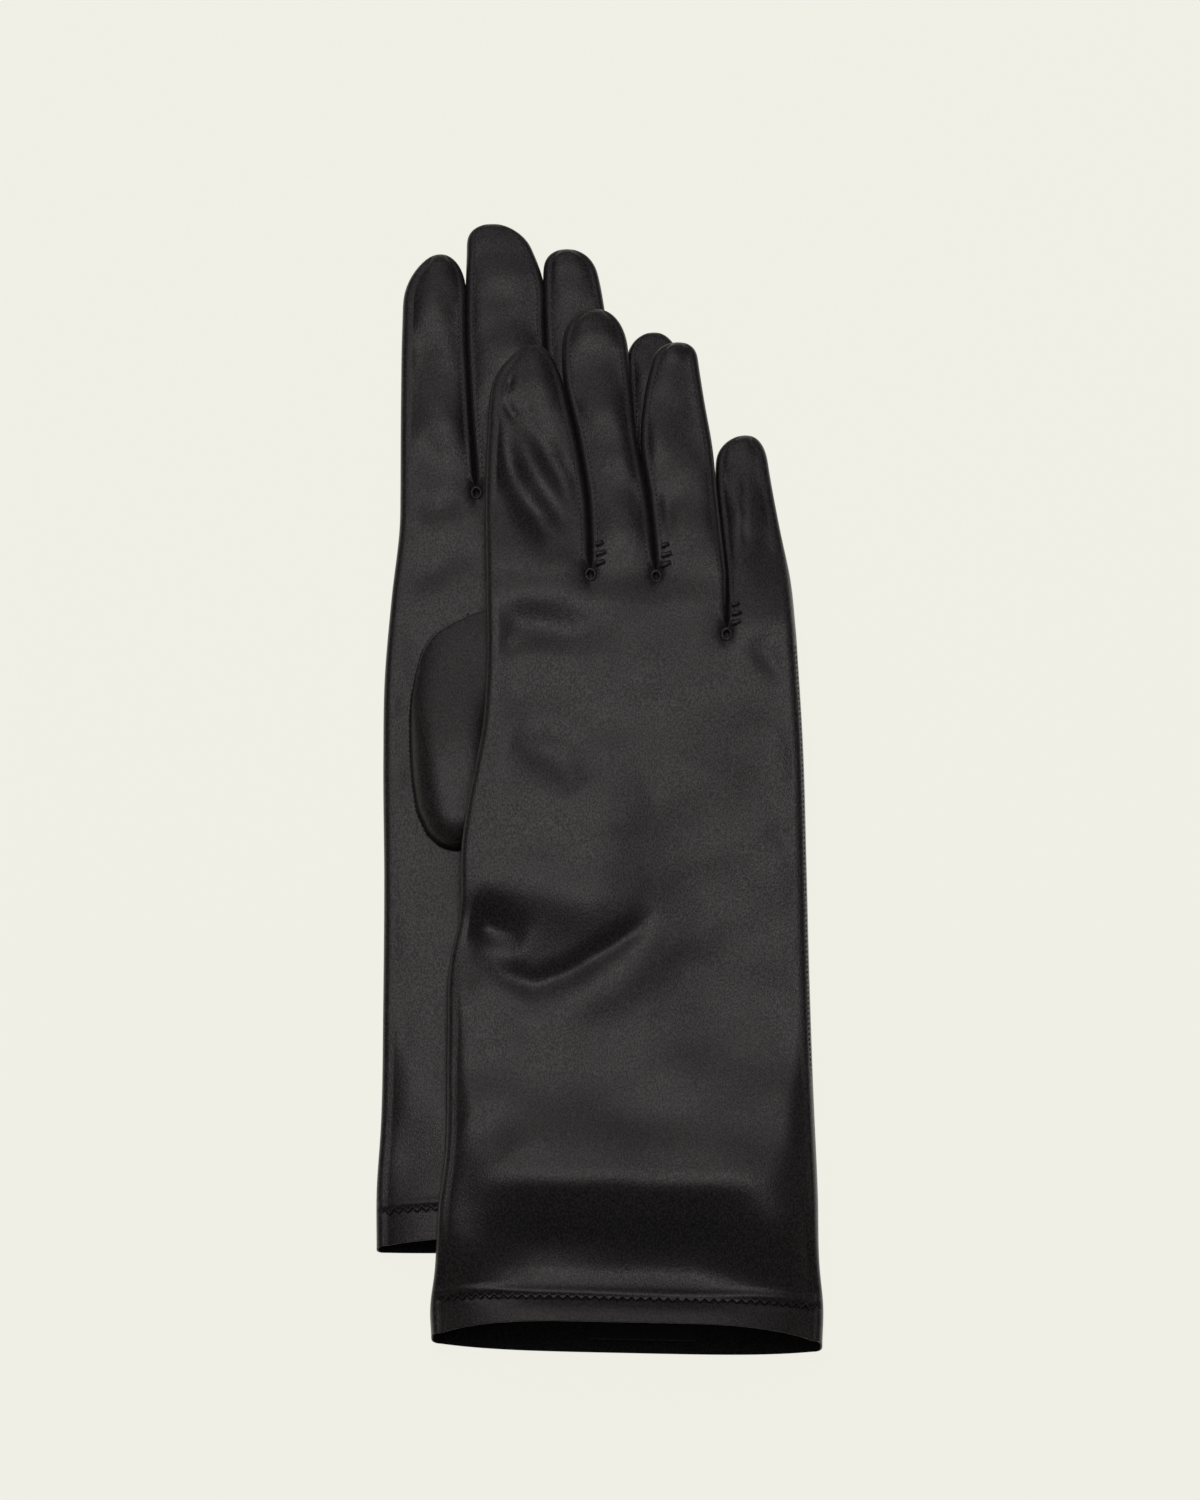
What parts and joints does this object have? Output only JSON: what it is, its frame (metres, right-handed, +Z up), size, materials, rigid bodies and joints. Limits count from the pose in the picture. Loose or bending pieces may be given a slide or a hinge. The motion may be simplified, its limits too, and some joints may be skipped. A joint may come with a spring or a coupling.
{
  "type": "opera gloves",
  "caption": "Pair of mid-forearm satin opera gloves laid one over the other, with hollow tranks, finger stalls, fourchettes, set-in thumbs and stitched hems; thumbs and some fingers are hinged",
  "frame": {"origin": "on the surface the gloves lie on, under the middle of the pair", "axes": "+Z up, +Y towards the fingertips, +X towards the little fingers"},
  "size_m": [0.125, 0.3304, 0.0232],
  "materials": {
    "satin": "black stretch satin, soft sheen",
    "fourchette_satin": "black stretch satin, soft sheen",
    "thread": "matt black sewing thread",
    "label": "blank black woven tape"
  },
  "bodies": {
    "left_glove": {"left_trank": "satin", "left_hem_stitching": "thread", "left_side_seam": "thread", "left_thumb_seam": "thread", "left_middle": "satin", "left_middle_fourchette_left": "fourchette_satin", "left_middle_fourchette_right": "fourchette_satin", "left_ring": "satin", "left_ring_fourchette_left": "fourchette_satin", "left_ring_fourchette_right": "fourchette_satin", "left_little": "satin", "left_little_fourchette_left": "fourchette_satin"},
    "left_index_finger": {"left_index": "satin", "left_index_fourchette_right": "fourchette_satin"},
    "left_thumb_stall": {"left_thumb": "satin"},
    "right_glove": {"right_trank": "satin", "right_hem_stitching": "thread", "right_side_seam": "thread", "right_thumb_seam": "thread", "right_label": "label"},
    "right_index_finger": {"right_index": "satin", "right_index_fourchette_right": "fourchette_satin"},
    "right_middle_finger": {"right_middle": "satin", "right_middle_fourchette_left": "fourchette_satin", "right_middle_fourchette_right": "fourchette_satin"},
    "right_ring_finger": {"right_ring": "satin", "right_ring_fourchette_left": "fourchette_satin", "right_ring_fourchette_right": "fourchette_satin"},
    "right_little_finger": {"right_little": "satin", "right_little_fourchette_left": "fourchette_satin"},
    "right_thumb_stall": {"right_thumb": "satin"}
  },
  "joints": [
    {"name": "right_glove_lift", "type": "slide", "parent": "left_glove", "child": "right_glove", "axis": [0, 0, 1], "range_m": [0, 0.15]},
    {"name": "left_index_fold", "type": "hinge", "parent": "left_glove", "child": "left_index_finger", "pos_m": [-0.0437, 0.0862, 0.006], "axis": [0.9975, 0.0711, 0], "range_deg": [0, 60]},
    {"name": "left_thumb_swing", "type": "hinge", "parent": "left_glove", "child": "left_thumb_stall", "pos_m": [-0.04138, -0.01693, 0.0093], "axis": [0, 0, 1], "range_deg": [0, 40]},
    {"name": "right_index_fold", "type": "hinge", "parent": "right_glove", "child": "right_index_finger", "pos_m": [-0.01773, 0.05883, 0.0174], "axis": [0.9997, 0.024, 0], "range_deg": [0, 60]},
    {"name": "right_middle_fold", "type": "hinge", "parent": "right_glove", "child": "right_middle_finger", "pos_m": [0.00626, 0.05829, 0.0174], "axis": [0.9959, 0.0906, 0], "range_deg": [0, 60]},
    {"name": "right_ring_fold", "type": "hinge", "parent": "right_glove", "child": "right_ring_finger", "pos_m": [0.02516, 0.05786, 0.0174], "axis": [0.997, 0.0769, 0], "range_deg": [0, 60]},
    {"name": "right_little_fold", "type": "hinge", "parent": "right_glove", "child": "right_little_finger", "pos_m": [0.04487, 0.04041, 0.00943], "axis": [0.9968, 0.0801, 0], "range_deg": [0, 60]},
    {"name": "right_thumb_swing", "type": "hinge", "parent": "right_glove", "child": "right_thumb_stall", "pos_m": [-0.01827, -0.04433, 0.0087], "axis": [0, 0, 1], "range_deg": [-25, 0]}
  ]
}
